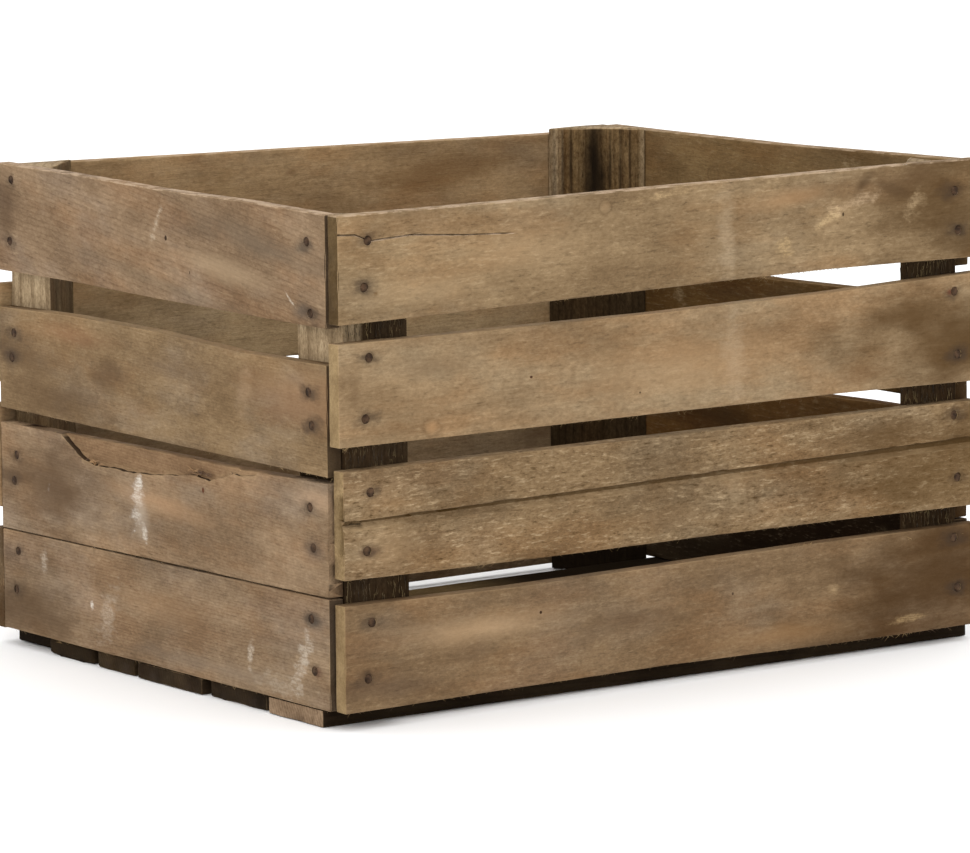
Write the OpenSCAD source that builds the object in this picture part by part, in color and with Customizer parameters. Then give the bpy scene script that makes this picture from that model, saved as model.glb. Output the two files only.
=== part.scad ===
// Slatted wooden crate: four triangular corner posts, four nailed slats on each wall and five floor boards.
// The origin is on the ground under the middle of the crate.
// +X runs along the long walls, +Y points to the back wall and +Z points up.

/* [Crate] */
// Outside length, over the end slats
crate_length = 500; // [440:5:560]
// Outside width, over the long slats
crate_width = 394; // [350:2:440]
// Height of the upper slats' top edges above the ground
crate_height = 310; // [300:1:350]
// Height of the long walls' lower edges above the ground
long_wall_lift = 12; // [11:0.5:16]

/* [Wall slats] */
// Thickness of every wall slat
slat_thickness = 11; // [9:0.5:13]
// Gap between two slats of a long wall; the slats share out the rest of its height by their widths
long_slat_gap = 13.2; // [10:0.1:16]
// Width of the top slat of a long wall
long_slat_1_width = 63; // [58:0.5:68]
// Width of the second slat of a long wall
long_slat_2_width = 64; // [59:0.5:69]
// Width of the third slat of a long wall
long_slat_3_width = 67; // [62:0.5:72]
// Width of the lowest slat of a long wall
long_slat_4_width = 64.4; // [60:0.1:70]
// Width of the top slat of an end wall; the slats share out the height that their gaps leave
end_slat_1_width = 69; // [64:0.5:74]
// Width of the second slat of an end wall
end_slat_2_width = 68; // [63:0.5:73]
// Width of the third slat of an end wall
end_slat_3_width = 68.5; // [63:0.5:73]
// Width of the lowest slat of an end wall
end_slat_4_width = 66.5; // [61:0.5:71]
// Gap between the top and second slats of an end wall
end_upper_gap = 20.1; // [16:0.1:24]
// Gap between the second and third slats of an end wall
end_middle_gap = 6.5; // [5:0.5:10]
// Crack between the third and lowest slats of an end wall
end_lower_gap = 0.4; // [0.2:0.1:2]
// Gap between an end slat and the long slat that covers its end
corner_gap = 1.5; // [0.2:0.1:3]

/* [Groove and break] */
// Depth of the groove along the front wall's third slat
groove_depth = 2.5; // [1:0.5:5]
// Depth of the flake that has split off the left end wall's third slat
flake_depth = 5; // [2:0.5:7]

/* [Corner posts] */
// Length of a post's two square sides
post_leg = 48; // [42:1:54]
// Height that the back posts stop short of the ground
back_post_lift = 0.5; // [0:0.5:8]

/* [Floor boards] */
// Thickness of every floor board
floor_thickness = 11; // [9:0.5:11]
// Distance from the front of the crate to the first floor board's left end
floor_front_inset = 22; // [15:1:32]
// How much nearer to the front of the crate the first floor board's right end lies
floor_skew = 9; // [0:1:12]
// Gap between two floor boards; the boards share out the rest of the floor by their widths
floor_board_gap = 5.5; // [4:0.5:8]
// Width of the front floor board
floor_board_1_width = 59; // [50:1:64]
// Width of the second floor board
floor_board_2_width = 62; // [56:1:66]
// Width of the third floor board
floor_board_3_width = 73; // [66:1:77]
// Width of the fourth floor board
floor_board_4_width = 43; // [38:1:47]
// Width of the rear floor board
floor_board_5_width = 53; // [46:1:57]
// Gap between the rear floor board and the back posts
floor_post_gap = 1; // [0.5:0.5:4]

/* [Nails] */
// Length of a nail under and with its head
nail_length = 25; // [22:0.5:25]
// Radius of a nail's shank
nail_radius = 1.1; // [0.9:0.1:1.3]
// Radius of a nail's head
nail_head_radius = 2.75; // [2.25:0.25:3.25]
// Thickness of a nail's head
nail_head_thickness = 1; // [0.6:0.1:1.5]
// Depth of a nail's head below the surface of the wood
nail_sink = 0.2; // [0.1:0.1:0.6]
// Clearance round a nail in its hole
nail_clearance = 0.1; // [0.05:0.05:0.2]
// Mean distance of the long slats' nails from the crate's ends
long_nail_inset = 21; // [19:0.5:23]
// Mean distance of the end slats' nails from the crate's front and back
end_nail_inset = 30; // [29:0.5:34]
// Distance of the floor boards' nails from the crate's ends
floor_nail_inset = 7.5; // [6.5:0.5:8]

/* [Hidden] */
$fn = 32;

rows = 4;
half_length = crate_length / 2;
half_width = crate_width / 2;
end_slat_half = half_width - slat_thickness - corner_gap;
overrun = 1;

// Boards side by side share out the room that their gaps leave, in proportion to their widths
function sum_from(list, first) = first >= len(list) ? 0 : list[first] + sum_from(list, first + 1);
function shared(room, widths) = [for (width = widths) room * width / sum_from(widths, 0)];

// Rows are numbered from the top, and index 0 is unused
long_widths = shared(crate_height - long_wall_lift - (rows - 1) * long_slat_gap,
    [0, long_slat_1_width, long_slat_2_width, long_slat_3_width, long_slat_4_width]);
function long_bottom(row) = long_wall_lift + sum_from(long_widths, row + 1) + (rows - row) * long_slat_gap;
function long_top(row) = long_bottom(row) + long_widths[row];

// The end walls stack up from the floor boards to the crate's height
end_gaps = [0, end_upper_gap, end_middle_gap, end_lower_gap];
end_widths = shared(crate_height - floor_thickness - sum_from(end_gaps, 0),
    [0, end_slat_1_width, end_slat_2_width, end_slat_3_width, end_slat_4_width]);
function end_bottom(row) = floor_thickness + sum_from(end_widths, row + 1) + sum_from(end_gaps, row);
function end_top(row) = end_bottom(row) + end_widths[row];

// How far each slat's edges wander from straight at five places along it, from -1 at one end to 1 at the other
places = [-1, -0.5, 0, 0.5, 1];
level = [0, 0, 0, 0, 0];
front_low = [level, [-2.5, -1, 0.5, 2, 0.5], [1.5, 1, 0, 0, -2], [2, 0.5, 0.5, -0.5, -2], [-1, 0, 0.5, -1.5, -2]];
front_high = [level, [0, 0, 0.5, 1, 1], [0, -0.5, -0.5, 1, 4.5], [1, 0.5, -0.5, 0, -0.5], [0.5, -1.5, -0.5, 0.5, 0]];
back_low = [level, [0, -1.5, -4, -6, -7], [0.5, -1, -3, -5, -6.5], [-0.5, -2, -4.5, -6.5, -7], [-2, -8, -8, -7.5, -7.5]];
back_high = [level, [0, -2.5, -4.5, -7, -9], [0, -1.5, -3, -4.5, -6], [0, -1, -3, -4.5, -6], [-0.5, -1.5, -3, -4.5, -5.5]];
left_low = [level, [0.5, 1, 1, 2.5, 2], [-0.5, -0.5, 0, 0.5, 1.5], [2, 1, 0, -0.5, -1.5], level];
left_high = [level, [0, 1, 0.5, 2, 2.5], [-0.5, -2, 1, 1.5, -1], [3, 0.5, 0, -0.5, -1], [2, 1, 0, -0.5, -1.5]];
right_low = [level, [0, -1, -2, -3, -4], [0, -0.5, -2, -3, -3.5], [0, -0.5, -1, -2, -2], level];
right_high = [level, [0, -2, -4, -4.5, -5], [-1, -3, -5, -5, -5], [-1, -2, -4, -4, -4.5], [0, -0.5, -1, -2, -2]];
function wander(bends, place) = lookup(place, [for (i = [0 : len(places) - 1]) [places[i], bends[i]]]);

// How far each long slat stops short of the crate's left and right ends
front_short = [[0, 0], [0.5, 1], [0, 0.5], [2.5, 1.5], [2.5, 1]];
back_short = [[0, 0], [1, 0.5], [1.5, 2], [0.5, 1], [1, 0]];
// How far each floor board stops short of the crate's left and right ends
floor_short = [[0, 0], [1, 0.5], [4, 2], [1.5, 3], [3, 1], [3.5, 2]];

// Distances of each slat's lower and upper nails from its lower and upper edges, at its two ends
front_nails_at = [[], [[21.5, 16], [18.5, 19.5]], [[16.5, 9.5], [18.5, 10.5]],
    [[17, 14], [19.5, 8.5]], [[20, 11.5], [26, 8]]];
back_nails_at = [[], [[18, 14], [20, 12]], [[17, 15], [16, 13]], [[19, 12], [20, 16]], [[24, 13], [22, 15]]];
left_nails_at = [[], [[8, 18], [20, 10]], [[30, 18], [34, 16]], [[29, 16], [32, 20]], [[23, 14], [27, 13]]];
right_nails_at = [[], [[12, 16], [17, 13]], [[26, 14], [22, 17]], [[24, 18], [28, 15]], [[22, 12], [25, 16]]];
// Sideways stagger of a slat's lower and upper nails
nail_stagger = [-1.5, 1.5];
// Share of a floor board's half width at which its two nails stand off its middle
floor_nail_share = 0.5;

// Places of the floor boards across the crate, measured from its front
boards = 5;
floor_rear_inset = slat_thickness + post_leg + floor_post_gap;
floor_widths = shared(crate_width - floor_front_inset - floor_rear_inset - (boards - 1) * floor_board_gap,
    [0, floor_board_1_width, floor_board_2_width, floor_board_3_width, floor_board_4_width,
    floor_board_5_width]);
function floor_start(board) =
    board == 1 ? floor_front_inset : floor_start(board - 1) + floor_widths[board - 1] + floor_board_gap;
function floor_middle(board) = floor_start(board) + floor_widths[board] / 2 - half_width;
// How far a floor board's edges lie to the front of their own place, along the crate from 0 to 1
function floor_drift(board, share) = board == 1 ? floor_skew * share : 0;

// Outline of the groove in the front wall's third slat, as heights over the slat's lower edge at its two ends
groove_left = [32.5, 37];
groove_right = [37, 42.5];
// Outline of the split-off flake, as distances from the middle of the wall and drops below the slat's top edge
flake_outline = [[112, -4], [112, 1], [86, 14], [74, 16], [58, 15.5], [36, 16], [8, 14.5], [-28, 10.5], [-42, 9],
    [-57, 10.5], [-79, 4], [-108, 1], [-112, -4]];

// A nail that is driven along +Z from the surface at Z = 0
module nail() {
    translate([0, 0, nail_sink]) {
        cylinder(r = nail_head_radius, h = nail_head_thickness);
        cylinder(r = nail_radius, h = nail_length - nail_sink);
    }
}

// The hole that a nail leaves, open at the surface
module nail_hole() {
    translate([0, 0, -overrun])
        cylinder(r = nail_head_radius + nail_clearance, h = overrun + nail_sink + nail_head_thickness);
    cylinder(r = nail_radius + nail_clearance, h = nail_length + nail_clearance);
}

// Outline of a slat from its two wandering edges
module slat_outline(start, finish, low, high, low_bends, high_bends) {
    middle = (start + finish) / 2;
    half = (finish - start) / 2;
    lower_edge = [for (i = [0 : len(places) - 1]) [middle + half * places[i], low + low_bends[i]]];
    upper_edge = [for (i = [len(places) - 1 : -1 : 0]) [middle + half * places[i], high + high_bends[i]]];
    polygon(concat(lower_edge, upper_edge));
}

// Heights of a slat's two nails at one end
function nail_heights(low, high, low_bends, high_bends, place, insets) =
    [low + wander(low_bends, place) + insets[0], high + wander(high_bends, place) - insets[1]];

// Places copies of its children at the nails of one long slat, pointing into the crate
module at_long_nails(side, row, low_bends, high_bends, nails_at) {
    for (end = [0, 1]) {
        place = end == 0 ? -1 : 1;
        heights = nail_heights(long_bottom(row), long_top(row), low_bends[row], high_bends[row],
            place * (1 - long_nail_inset / half_length), nails_at[row][end]);
        for (i = [0, 1])
            translate([place * (half_length - long_nail_inset - nail_stagger[i]), side * half_width, heights[i]])
                rotate([side * 90, 0, 0])
                    children();
    }
}

// Places copies of its children at the nails of one end slat, pointing into the crate
module at_end_nails(side, row, low_bends, high_bends, nails_at) {
    for (end = [0, 1]) {
        place = end == 0 ? -1 : 1;
        heights = nail_heights(end_bottom(row), end_top(row), low_bends[row], high_bends[row],
            place * (1 - (end_nail_inset - slat_thickness) / end_slat_half), nails_at[row][end]);
        for (i = [0, 1])
            translate([side * half_length, place * (half_width - end_nail_inset - nail_stagger[i]), heights[i]])
                rotate([0, -side * 90, 0])
                    children();
    }
}

// Places copies of its children at the nails of one floor board, pointing up from the ground
module at_floor_nails(board) {
    for (end = [-1, 1], across = [-1, 1])
        translate([end * (half_length - floor_nail_inset),
                floor_middle(board) + across * floor_nail_share * floor_widths[board] / 2
                    - floor_drift(board, (end + 1) / 2), 0])
            children();
}

// One slat of a long wall; side is -1 at the front and 1 at the back
module long_slat(side, row, low_bends, high_bends, short, nails_at) {
    difference() {
        translate([0, side > 0 ? half_width : slat_thickness - half_width, 0])
            rotate([90, 0, 0])
                linear_extrude(slat_thickness)
                    slat_outline(short[row][0] - half_length, half_length - short[row][1],
                        long_bottom(row), long_top(row), low_bends[row], high_bends[row]);
        at_long_nails(side, row, low_bends, high_bends, nails_at)
            nail_hole();
    }
}

// One slat of an end wall; side is -1 at the left and 1 at the right
module end_slat(side, row, low_bends, high_bends, nails_at) {
    difference() {
        translate([side > 0 ? half_length - slat_thickness : -half_length, 0, 0])
            rotate([90, 0, 90])
                linear_extrude(slat_thickness)
                    slat_outline(-end_slat_half, end_slat_half,
                        end_bottom(row), end_top(row), low_bends[row], high_bends[row]);
        at_end_nails(side, row, low_bends, high_bends, nails_at)
            nail_hole();
        if (row == rows)
            for (board = [1 : boards])
                at_floor_nails(board)
                    nail_hole();
    }
}

// The groove runs the whole length of the slat, a little out of line with its edges
module groove() {
    low = long_bottom(3);
    translate([0, groove_depth - half_width, 0])
        rotate([90, 0, 0])
            linear_extrude(groove_depth + overrun)
                polygon([[-half_length, low + groove_left[0]], [half_length, low + groove_right[0]],
                    [half_length, low + groove_right[1]], [-half_length, low + groove_left[1]]]);
}

// The flake left a hollow in the outer face, open at the slat's top edge
module flake() {
    high = end_top(3);
    translate([-half_length - overrun, 0, 0])
        rotate([90, 0, 90])
            linear_extrude(flake_depth + overrun)
                polygon([for (point = flake_outline) [point[0], high - point[1]]]);
}

module front_slat(row) {
    color("#8F7454")
        difference() {
            long_slat(-1, row, front_low, front_high, front_short, front_nails_at);
            if (row == 3)
                groove();
        }
}

module back_slat(row) {
    color("#7A6246")
        long_slat(1, row, back_low, back_high, back_short, back_nails_at);
}

module left_slat(row) {
    color("#8E735A")
        difference() {
            end_slat(-1, row, left_low, left_high, left_nails_at);
            if (row == 3)
                flake();
        }
}

module right_slat(row) {
    color("#84694C")
        end_slat(1, row, right_low, right_high, right_nails_at);
}

// A post is a triangular bar with its square corner outwards, drilled by the nails of both walls
module post(end, side, bottom, top) {
    corner_x = end * (half_length - slat_thickness);
    corner_y = side * (half_width - slat_thickness);
    color("#6B5238")
        difference() {
            translate([corner_x, corner_y, bottom])
                linear_extrude(top - bottom)
                    polygon([[0, 0], [-end * post_leg, 0], [0, -side * post_leg]]);
            for (row = [1 : rows]) {
                if (side < 0)
                    at_long_nails(-1, row, front_low, front_high, front_nails_at)
                        nail_hole();
                else
                    at_long_nails(1, row, back_low, back_high, back_nails_at)
                        nail_hole();
                if (end < 0)
                    at_end_nails(-1, row, left_low, left_high, left_nails_at)
                        nail_hole();
                else
                    at_end_nails(1, row, right_low, right_high, right_nails_at)
                        nail_hole();
            }
        }
}

module floor_board(board) {
    left = floor_short[board][0] - half_length;
    right = half_length - floor_short[board][1];
    front = floor_start(board) - half_width;
    back = front + floor_widths[board];
    drift = floor_drift(board, 1);
    color("#6F5A40")
        difference() {
            linear_extrude(floor_thickness)
                polygon([[left, front], [right, front - drift], [right, back - drift], [left, back]]);
            at_floor_nails(board)
                nail_hole();
        }
}

module front_nails() {
    color("#3A332C")
        for (row = [1 : rows])
            at_long_nails(-1, row, front_low, front_high, front_nails_at)
                nail();
}

module back_nails() {
    color("#3A332C")
        for (row = [1 : rows])
            at_long_nails(1, row, back_low, back_high, back_nails_at)
                nail();
}

module left_nails() {
    color("#3A332C")
        for (row = [1 : rows])
            at_end_nails(-1, row, left_low, left_high, left_nails_at)
                nail();
}

module right_nails() {
    color("#3A332C")
        for (row = [1 : rows])
            at_end_nails(1, row, right_low, right_high, right_nails_at)
                nail();
}

module floor_nails() {
    color("#3A332C")
        for (board = [1 : boards])
            at_floor_nails(board)
                nail();
}

// Heights of the post tops against the upper slats, which the posts were cut to by eye
front_left_top = crate_height - 3;
front_right_top = crate_height - 2;
back_left_top = crate_height + 1;
back_right_top = crate_height - 4;

post(-1, -1, floor_thickness, front_left_top);  // post_front_left
post(1, -1, floor_thickness, front_right_top);  // post_front_right
post(-1, 1, back_post_lift, back_left_top);  // post_back_left
post(1, 1, back_post_lift, back_right_top);  // post_back_right
front_slat(1);  // front_slat_1
front_slat(2);  // front_slat_2
front_slat(3);  // front_slat_3
front_slat(4);  // front_slat_4
back_slat(1);  // back_slat_1
back_slat(2);  // back_slat_2
back_slat(3);  // back_slat_3
back_slat(4);  // back_slat_4
left_slat(1);  // left_slat_1
left_slat(2);  // left_slat_2
left_slat(3);  // left_slat_3
left_slat(4);  // left_slat_4
right_slat(1);  // right_slat_1
right_slat(2);  // right_slat_2
right_slat(3);  // right_slat_3
right_slat(4);  // right_slat_4
floor_board(1);  // floor_board_1
floor_board(2);  // floor_board_2
floor_board(3);  // floor_board_3
floor_board(4);  // floor_board_4
floor_board(5);  // floor_board_5
front_nails();
back_nails();
left_nails();
right_nails();
floor_nails();
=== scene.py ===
import math
import random

import bmesh
import bpy
from mathutils import Euler, Matrix, Vector, noise


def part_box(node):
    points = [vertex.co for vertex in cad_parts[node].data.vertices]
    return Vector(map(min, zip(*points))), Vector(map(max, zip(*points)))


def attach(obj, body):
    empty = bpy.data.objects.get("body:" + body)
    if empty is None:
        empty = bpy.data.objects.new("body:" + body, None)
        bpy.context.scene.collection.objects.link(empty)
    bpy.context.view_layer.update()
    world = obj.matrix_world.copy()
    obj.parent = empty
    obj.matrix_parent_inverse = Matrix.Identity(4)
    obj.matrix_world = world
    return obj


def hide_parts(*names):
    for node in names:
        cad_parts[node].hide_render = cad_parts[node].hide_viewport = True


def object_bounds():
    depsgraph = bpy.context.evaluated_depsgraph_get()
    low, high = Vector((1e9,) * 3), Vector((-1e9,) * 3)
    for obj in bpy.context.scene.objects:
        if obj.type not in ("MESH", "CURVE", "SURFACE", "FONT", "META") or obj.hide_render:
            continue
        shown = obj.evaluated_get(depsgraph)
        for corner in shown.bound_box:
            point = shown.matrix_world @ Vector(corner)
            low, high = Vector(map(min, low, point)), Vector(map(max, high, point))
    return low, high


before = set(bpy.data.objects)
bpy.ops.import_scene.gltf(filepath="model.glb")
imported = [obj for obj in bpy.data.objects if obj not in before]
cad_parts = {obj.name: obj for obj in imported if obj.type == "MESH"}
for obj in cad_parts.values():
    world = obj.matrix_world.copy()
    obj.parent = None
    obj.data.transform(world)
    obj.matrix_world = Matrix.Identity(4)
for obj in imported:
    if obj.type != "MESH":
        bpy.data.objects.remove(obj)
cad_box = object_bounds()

# The studio: a plain white floor that runs out of sight, even white light from all round,
# a broad soft lamp from the front left, and a long lens a little above the crate's rim.
# The camera's place was measured in millimetres from the crate's near left bottom corner.
MM = 0.001
near_corner = Vector((cad_box[0].x, cad_box[0].y, 0.0))
camera_place = near_corner + Vector((-2009.6, -2898.2, 703.8)) * MM
camera_yaw = math.radians(36.14)
camera_pitch = math.radians(8.38)
camera_roll = math.radians(-0.51)
FOCAL_PIXELS = 6034.0
FRAME_WIDTH = 970.0
SENSOR = 36.0

camera_data = bpy.data.cameras.new("camera")
camera_data.sensor_fit = "HORIZONTAL"
camera_data.sensor_width = SENSOR
camera_data.lens = SENSOR * FOCAL_PIXELS / FRAME_WIDTH
camera_data.clip_end = 100.0
camera = bpy.data.objects.new("camera", camera_data)
camera.location = camera_place
look = Euler((math.pi / 2 - camera_pitch, 0.0, -camera_yaw), "XYZ").to_matrix()
camera.rotation_euler = (look @ Matrix.Rotation(camera_roll, 3, "Z")).to_euler()
bpy.context.scene.collection.objects.link(camera)
bpy.context.scene.camera = camera
bpy.context.scene.view_settings.view_transform = "Standard"


def linear(code):
    """An sRGB hex colour as linear red, green and blue, and a full alpha."""
    channels = [int(code[i:i + 2], 16) / 255 for i in (1, 3, 5)]
    return [c / 12.92 if c <= 0.04045 else ((c + 0.055) / 1.055) ** 2.4 for c in channels] + [1.0]


def put(tree, kind, settings=None, links=None):
    """Adds a shader node, sets its properties, and sets or links its sockets."""
    node = tree.nodes.new("ShaderNode" + kind)
    for name, value in (settings or {}).items():
        setattr(node, name, value)
    for name, value in (links or {}).items():
        if isinstance(value, bpy.types.NodeSocket):
            tree.links.new(value, node.inputs[name])
        else:
            node.inputs[name].default_value = value
    return node


def soft_light(name, place, aim, size, watts, colour):
    """A round lamp of a given width in metres, turned to shine on a point."""
    data = bpy.data.lights.new(name, "AREA")
    data.shape = "DISK"
    data.size = size
    data.energy = watts
    data.color = linear(colour)[:3]
    lamp = bpy.data.objects.new(name, data)
    lamp.location = place
    lamp.rotation_euler = (Vector(aim) - Vector(place)).to_track_quat("-Z", "Y").to_euler()
    bpy.context.scene.collection.objects.link(lamp)


soft_light("key", place=(-2.9, -2.6, 1.9), aim=(0.0, 0.0, 0.1), size=1.6, watts=28.0, colour="#FFF9F2")

world = bpy.data.worlds.new("studio")
world.use_nodes = True
world.node_tree.nodes["Background"].inputs["Color"].default_value = linear("#FFFFFF")
world.node_tree.nodes["Background"].inputs["Strength"].default_value = 1.48
bpy.context.scene.world = world

FLOOR_HALF = 30.0
floor_mesh = bpy.data.meshes.new("studio_floor")
bm = bmesh.new()
bmesh.ops.create_grid(bm, x_segments=1, y_segments=1, size=FLOOR_HALF)
bm.to_mesh(floor_mesh)
bm.free()
studio_floor = bpy.data.objects.new("studio_floor", floor_mesh)
bpy.context.scene.collection.objects.link(studio_floor)
paper = bpy.data.materials.new("white_paper")
paper.use_nodes = True
paper.node_tree.nodes["Principled BSDF"].inputs["Base Color"].default_value = linear("#F9F9F9")
paper.node_tree.nodes["Principled BSDF"].inputs["Roughness"].default_value = 0.9
paper.node_tree.nodes["Principled BSDF"].inputs["Specular IOR Level"].default_value = 0.1
floor_mesh.materials.append(paper)


# The nails: 25 mm wire nails with flat heads, hammered flush and rusted, so that they stain the wood.
# Each wall's nails are one piece. Their heads are beaten a little out of round and tipped.
NAIL_PLACES = {}
# Points closer than this, in metres, become one
MERGE = 0.00001


def loose_parts(bm):
    """Groups of vertices that hang together."""
    left = set(bm.verts)
    while left:
        group = set()
        front = [left.pop()]
        while front:
            vert = front.pop()
            group.add(vert)
            for edge in vert.link_edges:
                other = edge.other_vert(vert)
                if other in left:
                    left.discard(other)
                    front.append(other)
        yield sorted(group, key=lambda v: v.index)


def finish_piece(name, bm, material, nodes=(), smooth_angle=35.0):
    """Turns a bmesh into a piece that rides with the crate and may replace CAD nodes."""
    bm.normal_update()
    mesh = bpy.data.meshes.new(name)
    bm.to_mesh(mesh)
    bm.free()
    mesh.materials.clear()
    mesh.materials.append(material)
    mesh.polygons.foreach_set("use_smooth", [True] * len(mesh.polygons))
    mesh.set_sharp_from_angle(angle=math.radians(smooth_angle))
    piece = bpy.data.objects.new(name, mesh)
    bpy.context.scene.collection.objects.link(piece)
    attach(piece, "root")
    if nodes:
        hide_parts(*nodes)
    return piece


def merged_copy(node):
    """The CAD node's mesh with its loose triangles joined up."""
    bm = bmesh.new()
    bm.from_mesh(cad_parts[node].data)
    bmesh.ops.remove_doubles(bm, verts=bm.verts, dist=MERGE)
    return bm


# Rusted mild steel: brown to nearly black scale in patches, pitted and dull
def rusted_steel():
    material = bpy.data.materials.new("rusted_steel")
    material.use_nodes = True
    tree = material.node_tree
    place = put(tree, "TexCoord").outputs["Object"]
    scale = put(tree, "TexNoise", None, {"Vector": place, "Scale": 260.0, "Detail": 5.0}).outputs["Fac"]
    ramp = put(tree, "ValToRGB", None, {"Fac": scale})
    ramp.color_ramp.elements[0].position = 0.38
    ramp.color_ramp.elements[0].color = linear("#2C1F15")
    ramp.color_ramp.elements[1].position = 0.66
    ramp.color_ramp.elements[1].color = linear("#503C2B")
    pits = put(tree, "Bump", None, {"Strength": 0.7, "Distance": 0.0003, "Height": scale})
    surface = tree.nodes["Principled BSDF"]
    tree.links.new(ramp.outputs["Color"], surface.inputs["Base Color"])
    tree.links.new(pits.outputs["Normal"], surface.inputs["Normal"])
    surface.inputs["Specular IOR Level"].default_value = 0.15
    surface.inputs["Roughness"].default_value = 0.9
    return material


nail_steel = rusted_steel()
HEAD_SLICE = 1.3 * MM
HEAD_SPREAD = 1.05
HEAD_DENT = 0.2
HEAD_TIP = 0.3
DENT_WAVES = 420
TIP_WAVES = (310, 270, 190)
TIP_SHIFT = Vector((7, 1, 3))
for node, inward in (("front_nails", (0, 1, 0)), ("back_nails", (0, -1, 0)), ("left_nails", (1, 0, 0)),
                     ("right_nails", (-1, 0, 0)), ("floor_nails", (0, 0, 1))):
    inward = Vector(inward)
    bm = merged_copy(node)
    NAIL_PLACES[node] = []
    for verts in loose_parts(bm):
        outer = min(v.co.dot(inward) for v in verts)
        centre = sum((v.co for v in verts), Vector()) / len(verts)
        head = centre + inward * (outer - centre.dot(inward))
        NAIL_PLACES[node].append(head)
        tip = Vector([noise.noise(head * waves + TIP_SHIFT) for waves in TIP_WAVES])
        for vert in verts:
            if vert.co.dot(inward) - outer < HEAD_SLICE:
                offset = vert.co - head
                offset -= inward * offset.dot(inward)
                beaten = HEAD_SPREAD - HEAD_DENT * abs(noise.noise(vert.co * DENT_WAVES))
                vert.co = vert.co + offset * (beaten - 1)
                vert.co += inward * max(0.0, offset.dot(tip) * HEAD_TIP)
    finish_piece(node + "_driven", bm, nail_steel, [node])


# The front wall: four long slats of sawn softwood, gone brown and dull with years of use.
# Each is nailed over the ends of the end slats into the corner posts, and its sawn edges are furry.
# The first has a drying crack through its left nail, and the third is a rougher board with a groove.
SLICE = 4.0 * MM
LONG_EDGE = 5.0 * MM
NAIL_REACH = 9.0 * MM
NAIL_SLACK = 4.0 * MM
FLAT_ANGLE = math.radians(0.5)
CORNER_ANGLE = math.radians(40)
# Edges and faces thinner than these are merged away once the slicing is done
SHORT_EDGE = 0.3 * MM
THIN_FACE = 0.05 * MM
# Waves per metre along the board, across it and through it, and the depth in millimetres that they take off
FINE_WAVES = Vector((9, 70, 70))
FINE_DEPTH = 0.16
BROAD_WAVES = Vector((18, 26, 26))
BROAD_DEPTH = 0.2
NAIL_DEPTH = 0.12
CHIP_DEPTH = 3.4
CHIP_WAVES = 2.9


def cut(bm, place, normal):
    bmesh.ops.bisect_plane(bm, geom=bm.verts[:] + bm.edges[:] + bm.faces[:], dist=MERGE,
                           plane_co=place, plane_no=normal)


def sliced(bm, axis, step):
    """Cuts the mesh into slices of a given thickness across one axis."""
    low = min(v.co[axis] for v in bm.verts)
    high = max(v.co[axis] for v in bm.verts)
    count = max(1, round((high - low) / step))
    normal = Vector([1.0 if i == axis else 0.0 for i in range(3)])
    for i in range(1, count):
        cut(bm, normal * (low + (high - low) * i / count), normal)


def nails_in(node, group):
    """Nail heads that lie on a board."""
    low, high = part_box(node)
    slack = Vector((NAIL_SLACK, NAIL_SLACK, NAIL_SLACK))
    low, high = low - slack, high + slack
    return [p for p in NAIL_PLACES.get(group, ()) if all(low[i] <= p[i] <= high[i] for i in range(3))]


def board(node, along, across, seed, round_over=0.9, chips=1.0, ripple=1.0,
          spare=None, shape=None, facing=()):
    """A worn copy of a CAD board: edges rounded and chipped, faces gone wavy along the grain.

    Edges that spare(point) picks out stay sharp, shape(bm) works on the sliced mesh,
    and facing adds a slanting face's direction to the square ones."""
    bm = merged_copy(node)
    bmesh.ops.dissolve_limit(bm, angle_limit=FLAT_ANGLE, verts=bm.verts[:], edges=bm.edges[:])
    bm.normal_update()
    corners = [e for e in bm.edges if len(e.link_faces) == 2 and e.calc_length() > LONG_EDGE
               and e.calc_face_angle(0.0) > CORNER_ANGLE and e.is_convex
               and not (spare and spare((e.verts[0].co + e.verts[1].co) / 2))]
    bmesh.ops.bevel(bm, geom=corners, offset=round_over * MM, offset_type="OFFSET", segments=2,
                    profile=0.5, affect="EDGES", material=-1, clamp_overlap=True)
    low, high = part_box(node)
    own_nails = nails_in(node, node.split("_")[0] + "_nails")
    sliced(bm, along, SLICE)
    sliced(bm, across, SLICE)
    if shape:
        shape(bm)
    bmesh.ops.remove_doubles(bm, verts=bm.verts[:], dist=SHORT_EDGE)
    bmesh.ops.dissolve_degenerate(bm, edges=bm.edges[:], dist=THIN_FACE)
    bm.normal_update()
    thick = 3 - along - across
    shift = Vector((seed * 3.7, seed * 1.3, seed * 2.1))
    edge_layer = bm.verts.layers.float.new("edge")
    facings = [Vector((1, 0, 0)), Vector((0, 1, 0)), Vector((0, 0, 1))] + [Vector(f) for f in facing]
    for vert in bm.verts:
        place = Vector((vert.co[along], vert.co[across], vert.co[thick]))
        fine = place * FINE_WAVES + shift
        broad = place * BROAD_WAVES + shift
        corner = 1 - max(abs(vert.normal.dot(f)) for f in facings)
        hollow = BROAD_DEPTH * (1 + noise.noise(broad)) + FINE_DEPTH * (1 + noise.noise(fine))
        chip = max(0.0, noise.noise(broad * CHIP_WAVES + shift)) * CHIP_DEPTH * corner * chips
        nearest = min(((vert.co - nail).length for nail in own_nails), default=1.0)
        calm = min(1.0, max(0.0, nearest / NAIL_REACH - 0.35) / 0.65)
        depth = (hollow * ripple * calm + NAIL_DEPTH * (1 - calm)) + chip * calm
        vert.co -= vert.normal * (depth * MM)
        vert[edge_layer] = min(1.0, corner * 3) * calm
    for vert in bm.verts:
        for i in range(3):
            vert.co[i] = min(max(vert.co[i], low[i]), high[i])
    bmesh.ops.triangulate(bm, faces=bm.faces[:])
    return bm


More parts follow.
